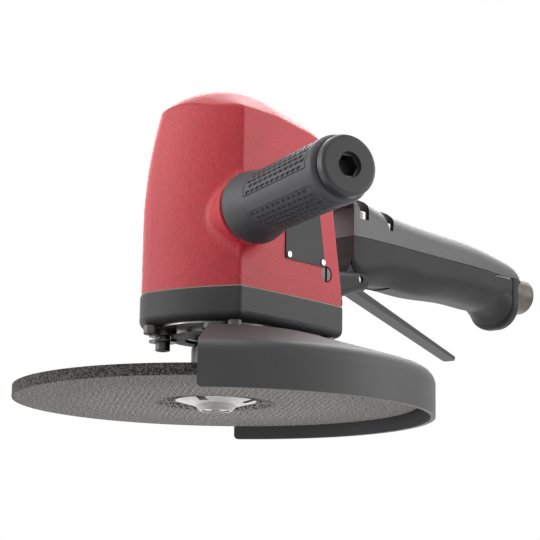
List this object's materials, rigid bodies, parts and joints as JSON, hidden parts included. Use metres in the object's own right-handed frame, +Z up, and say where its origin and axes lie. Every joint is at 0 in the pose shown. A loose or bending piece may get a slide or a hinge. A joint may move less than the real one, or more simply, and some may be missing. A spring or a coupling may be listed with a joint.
{
  "type": "air grinder",
  "caption": "Vertical air grinder with depressed-centre wheel, half-round guard, side grip and rear throttle handle with lever.",
  "frame": {"origin": "spindle axis at the working face of the grinding wheel", "axes": "+Z up along the spindle, +X forward, away from the throttle handle, +Y towards the side handle"},
  "size_m": [0.422, 0.264, 0.1882],
  "materials": {
    "red_paint": "satin red textured paint",
    "dark_paint": "satin dark grey paint",
    "guard_paint": "satin dark grey paint",
    "handle_shell": "satin dark grey",
    "cover_shell": "satin grey",
    "handle_rubber": "matt dark grey",
    "grip_rubber": "matt black",
    "gasket_fibre": "matt light fibre sheet",
    "cap_plastic": "satin black",
    "seal_rubber": "matt black",
    "abrasive": "gritty, matt",
    "bright_steel": "bright machined",
    "dark_steel": "black oxide",
    "inner_steel": "ground",
    "vane_resin": "matt",
    "inlet_steel": "turned, a little tarnished",
    "brass": "turned",
    "lever_paint": "satin dark grey",
    "plate_foil": "satin black",
    "rivet_metal": "satin",
    "louvre_plastic": "matt"
  },
  "bodies": {
    "tool_body": {"motor_housing": "red_paint", "base_housing": "dark_paint", "handle_body": "handle_shell", "handle_cover": "cover_shell", "handle_end_collar": "handle_rubber", "side_grip": "grip_rubber", "side_cap": "cap_plastic", "base_gasket": "gasket_fibre", "handle_gasket": "seal_rubber", "arm_seal": "seal_rubber", "shaft_seal": "seal_rubber", "stem_seal": "seal_rubber", "bearing_retainer": "bright_steel", "cover_screws": "bright_steel", "base_screws": "dark_steel", "guard_clamp_screws": "dark_steel", "guard_clamp_washers": "dark_steel", "foot_screws": "dark_steel", "side_bolt": "dark_steel", "side_plug": "dark_steel", "cylinder_liner": "inner_steel", "lower_end_plate": "inner_steel", "upper_end_plate": "inner_steel", "preload_ring": "inner_steel", "lower_bearing_outer": "inner_steel", "upper_bearing_outer": "inner_steel", "lever_pin": "inner_steel", "valve_spring": "inner_steel", "side_core": "inner_steel", "side_insert": "inner_steel", "inlet_bushing": "inlet_steel", "stem_bushing": "brass", "valve_seat": "brass", "valve_cap": "brass", "name_plate": "plate_foil", "plate_rivets": "rivet_metal", "inlet_screen": "rivet_metal", "exhaust_louvre": "louvre_plastic", "exhaust_muffler": "louvre_plastic"},
    "spindle_group": {"spindle": "inner_steel", "rotor": "inner_steel", "rotor_key": "inner_steel", "vanes": "vane_resin", "lower_bearing_inner": "inner_steel", "upper_bearing_inner": "inner_steel", "backing_flange": "dark_steel", "grinding_wheel": "abrasive", "spindle_nut": "bright_steel", "governor_carrier": "inner_steel", "governor_pins": "inner_steel", "governor_nut": "inner_steel", "governor_spring": "inner_steel"},
    "guard_group": {"guard": "guard_paint"},
    "bearing_cages": {"lower_bearing_balls": "inner_steel", "upper_bearing_balls": "inner_steel"},
    "flyweight_front": {"governor_weight_front": "inner_steel"},
    "flyweight_rear": {"governor_weight_rear": "inner_steel"},
    "sleeve": {"governor_sleeve": "inner_steel"},
    "lever": {"throttle_lever": "lever_paint"},
    "valve": {"throttle_valve": "inner_steel"}
  },
  "joints": [
    {"name": "spindle_spin", "type": "hinge", "parent": "tool_body", "child": "spindle_group", "pos_m": [0, 0, 0.06], "axis": [0, 0, 1], "continuous": true},
    {"name": "guard_turn", "type": "hinge", "parent": "tool_body", "child": "guard_group", "pos_m": [0, 0, 0.03], "axis": [0, 0, 1], "continuous": true},
    {"name": "cage_spin", "type": "hinge", "parent": "tool_body", "child": "bearing_cages", "pos_m": [0, 0, 0.05], "axis": [0, 0, 1], "continuous": true},
    {"name": "lever_press", "type": "hinge", "parent": "tool_body", "child": "lever", "pos_m": [-0.108, 0, 0.0863], "axis": [0, 1, 0], "range_deg": [0, 11.5], "stiffness_Nm_per_rad": 1.5, "springref_deg": -4.58},
    {"name": "valve_lift", "type": "slide", "parent": "tool_body", "child": "valve", "axis": [0, 0, 1], "range_m": [0, 0.0016], "deforming": ["valve_spring"]},
    {"name": "flyweight_front_swing", "type": "hinge", "parent": "spindle_group", "child": "flyweight_front", "pos_m": [0.0115, 0, 0.147], "axis": [0, 1, 0], "range_deg": [0, 12]},
    {"name": "flyweight_rear_swing", "type": "hinge", "parent": "spindle_group", "child": "flyweight_rear", "pos_m": [-0.0115, 0, 0.147], "axis": [0, -1, 0], "range_deg": [0, 12]},
    {"name": "sleeve_lift", "type": "slide", "parent": "spindle_group", "child": "sleeve", "axis": [0, 0, 1], "range_m": [0, 0.00105], "stiffness_N_per_m": 400, "springref_m": -0.001, "deforming": ["governor_spring"]}
  ],
  "couplings": [
    {"joint": "cage_spin", "follows": "spindle_spin", "ratio": 0.39},
    {"joint": "valve_lift", "follows": "lever_press", "m_per_rad": 0.00734},
    {"joint": "flyweight_front_swing", "follows": "sleeve_lift", "rad_per_m": 199.47},
    {"joint": "flyweight_rear_swing", "follows": "sleeve_lift", "rad_per_m": 199.47}
  ]
}
